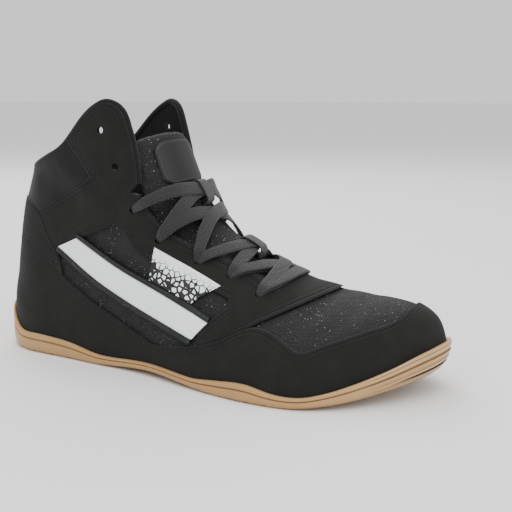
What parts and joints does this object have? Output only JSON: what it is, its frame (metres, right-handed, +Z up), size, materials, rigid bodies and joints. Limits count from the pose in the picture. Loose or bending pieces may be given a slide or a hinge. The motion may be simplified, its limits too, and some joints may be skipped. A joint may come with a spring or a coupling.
{
  "type": "wrestling shoe",
  "caption": "Right high-top wrestling shoe: hollow mesh upper with suede overlays and ankle flaps, padded tongue, flat lace and a thin gum cup sole.",
  "frame": {"origin": "centre of the shoe's bounding box in plan, on the floor plane under the sole", "axes": "+X from heel to toe, +Y to the medial (inner) side of the right foot, +Z up"},
  "size_m": [0.2872, 0.108, 0.157],
  "materials": {
    "gum_rubber": "gum rubber, satin",
    "foam_liner": "black textile over foam",
    "knit_mesh": "black mesh with bright specks",
    "suede": "short-napped charcoal suede",
    "white_band": "smooth white film",
    "band_trim": "dark raised trim",
    "white_print": "white print with a black crackle",
    "tongue_mesh": "coarse black mesh with bright specks",
    "label_patch": "smooth black patch, bare",
    "webbing": "black webbing",
    "braided_lace": "flat black braid"
  },
  "bodies": {
    "root": {"outsole": "gum_rubber", "insole": "foam_liner", "upper": "knit_mesh", "mudguard": "suede", "heel_counter": "suede", "eyestay": "suede", "side_band_lateral": "white_band", "side_band_medial": "white_band", "band_trim_low_lateral": "band_trim", "band_trim_low_medial": "band_trim", "band_trim_high_lateral": "band_trim", "band_trim_high_medial": "band_trim", "side_flash_lateral": "white_print", "side_flash_medial": "white_print", "tongue": "tongue_mesh", "tongue_label": "label_patch", "lace_keeper_upper": "webbing", "lace_keeper_lower": "webbing", "lace": "braided_lace"}
  },
  "joints": []
}
